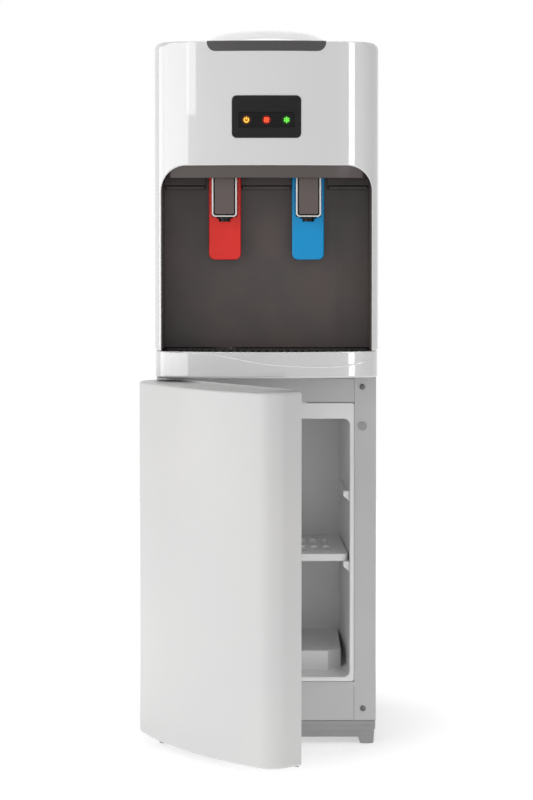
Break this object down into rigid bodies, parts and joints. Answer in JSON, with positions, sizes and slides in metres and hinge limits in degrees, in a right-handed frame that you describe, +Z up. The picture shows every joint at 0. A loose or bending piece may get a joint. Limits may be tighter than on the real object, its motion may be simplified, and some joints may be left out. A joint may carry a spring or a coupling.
{
  "type": "bottled water cooler",
  "caption": "Floor-standing bottled-water cooler: domed bottle seat, bowed front, hot and cold cup levers, drip tray and a storage cabinet with a hinged door.",
  "frame": {"origin": "on the floor, at the centre of the sheet-metal cabinet's footprint", "axes": "+Z up, the front with the taps faces -Y, +X to the right when looking at the front"},
  "size_m": [0.3287, 0.5223, 1.003],
  "materials": {
    "white_gloss": "pearl white gloss moulding",
    "white_satin": "satin white moulding",
    "liner_white": "vacuum-formed white liner",
    "painted_steel": "light grey powder coat",
    "grey_plastic": "grey moulding",
    "taupe_moulding": "dark taupe satin moulding",
    "taupe_gloss": "taupe gloss moulding",
    "graphite_trim": "graphite satin moulding",
    "black_satin": "black satin moulding",
    "smoked_window": "smoked black gloss",
    "light_guide": "clear light guide",
    "circuit_board": "green solder mask",
    "bright_trim": "satin bright metallised frame",
    "hot_red": "red gloss moulding",
    "cold_blue": "blue gloss moulding",
    "switch_green": "green gloss moulding",
    "stainless": "stainless steel",
    "zinc_steel": "zinc-plated steel",
    "heat_sink_alloy": "bare extruded aluminium",
    "white_foam": "white polystyrene foam",
    "silicone": "translucent silicone",
    "grey_rubber": "soft grey seal",
    "black_rubber": "black rubber"
  },
  "bodies": {
    "cabinet": {"base": "grey_plastic", "left_side_panel": "painted_steel", "right_side_panel": "painted_steel", "back_panel": "painted_steel", "top_cover": "white_gloss", "front_cover": "white_gloss", "top_insert": "graphite_trim", "control_panel_bezel": "black_satin", "indicator_window": "smoked_window", "indicator_lights": "light_guide", "indicator_board": "circuit_board", "recess_panel": "taupe_moulding", "fascia": "taupe_gloss", "tray_band": "white_gloss", "machine_deck": "grey_plastic", "tank_shelf": "zinc_steel", "cabinet_liner": "liner_white", "top_rail": "painted_steel", "bottom_rail": "painted_steel", "upper_hinge_bracket": "painted_steel", "lower_hinge_bracket": "painted_steel", "panel_screws": "zinc_steel", "column_plugs": "grey_plastic", "hot_tap_body": "black_satin", "cold_tap_body": "black_satin", "tap_trims": "bright_trim", "tap_faces": "taupe_gloss", "paddle_pins": "stainless", "hot_valve_spring": "stainless", "cold_valve_spring": "stainless", "cold_tank": "stainless", "cold_tank_insulation": "white_foam", "thermoelectric_module": "heat_sink_alloy", "heat_sink": "heat_sink_alloy", "fan_frame": "black_satin", "hot_tank": "stainless", "band_heater": "stainless", "thermostats": "stainless", "power_board": "circuit_board", "cold_tube": "silicone", "hot_tube": "silicone", "feed_tube": "silicone", "drain_spigot": "black_satin", "cord_gland": "black_rubber", "switch_housings": "black_satin"},
    "door": {"door_shell": "white_satin", "door_inner_panel": "liner_white", "door_gasket": "grey_rubber"},
    "hot_lever": {"hot_paddle": "hot_red"},
    "cold_lever": {"cold_paddle": "cold_blue"},
    "hot_valve": {"hot_valve_stem": "silicone"},
    "cold_valve": {"cold_valve_stem": "silicone"},
    "tray": {"drip_tray": "graphite_trim"},
    "grille": {"drip_grille": "graphite_trim"},
    "collar": {"bottle_collar": "white_satin"},
    "shelf": {"shelf": "liner_white"},
    "hot_switch": {"hot_switch_rocker": "hot_red"},
    "cold_switch": {"cold_switch_rocker": "switch_green"},
    "cap": {"drain_cap": "black_satin"},
    "fan": {"fan_rotor": "black_satin"}
  },
  "joints": [
    {"name": "door_hinge", "type": "hinge", "parent": "cabinet", "child": "door", "pos_m": [-0.143, -0.133, 0.27], "axis": [0, 0, -1], "range_deg": [-52, 48]},
    {"name": "hot_lever_press", "type": "hinge", "parent": "cabinet", "child": "hot_lever", "pos_m": [-0.058, -0.112, 0.803], "axis": [1, 0, 0], "range_deg": [0, 8], "stiffness_Nm_per_rad": 0.4, "springref_deg": -11.46},
    {"name": "cold_lever_press", "type": "hinge", "parent": "cabinet", "child": "cold_lever", "pos_m": [0.058, -0.112, 0.803], "axis": [1, 0, 0], "range_deg": [0, 8], "stiffness_Nm_per_rad": 0.4, "springref_deg": -11.46},
    {"name": "hot_valve_slide", "type": "slide", "parent": "cabinet", "child": "hot_valve", "axis": [0, 0, -1], "range_m": [0, 0.004], "deforming": ["hot_valve_spring"]},
    {"name": "cold_valve_slide", "type": "slide", "parent": "cabinet", "child": "cold_valve", "axis": [0, 0, -1], "range_m": [0, 0.004], "deforming": ["cold_valve_spring"]},
    {"name": "tray_lift", "type": "slide", "parent": "cabinet", "child": "tray", "axis": [0, 0, 1], "range_m": [0, 0.05]},
    {"name": "grille_lift", "type": "slide", "parent": "tray", "child": "grille", "axis": [0, 0, 1], "range_m": [0, 0.05]},
    {"name": "collar_lift", "type": "slide", "parent": "cabinet", "child": "collar", "axis": [0, 0, 1], "range_m": [0, 0.08]},
    {"name": "shelf_lift", "type": "slide", "parent": "cabinet", "child": "shelf", "axis": [0, 0, 1], "range_m": [0, 0.06]},
    {"name": "hot_switch_rock", "type": "hinge", "parent": "cabinet", "child": "hot_switch", "pos_m": [0.09, 0.119, 0.7], "axis": [1, 0, 0], "range_deg": [0, 16]},
    {"name": "cold_switch_rock", "type": "hinge", "parent": "cabinet", "child": "cold_switch", "pos_m": [0.09, 0.119, 0.66], "axis": [1, 0, 0], "range_deg": [0, 16]},
    {"name": "drain_cap_pull", "type": "slide", "parent": "cabinet", "child": "cap", "axis": [0, 1, 0], "range_m": [0, 0.02]},
    {"name": "fan_spin", "type": "hinge", "parent": "cabinet", "child": "fan", "pos_m": [0, 0.101, 0.835], "axis": [0, 1, 0], "continuous": true}
  ],
  "couplings": [
    {"joint": "hot_valve_slide", "follows": "hot_lever_press", "m_per_rad": 0.026},
    {"joint": "cold_valve_slide", "follows": "cold_lever_press", "m_per_rad": 0.026}
  ]
}
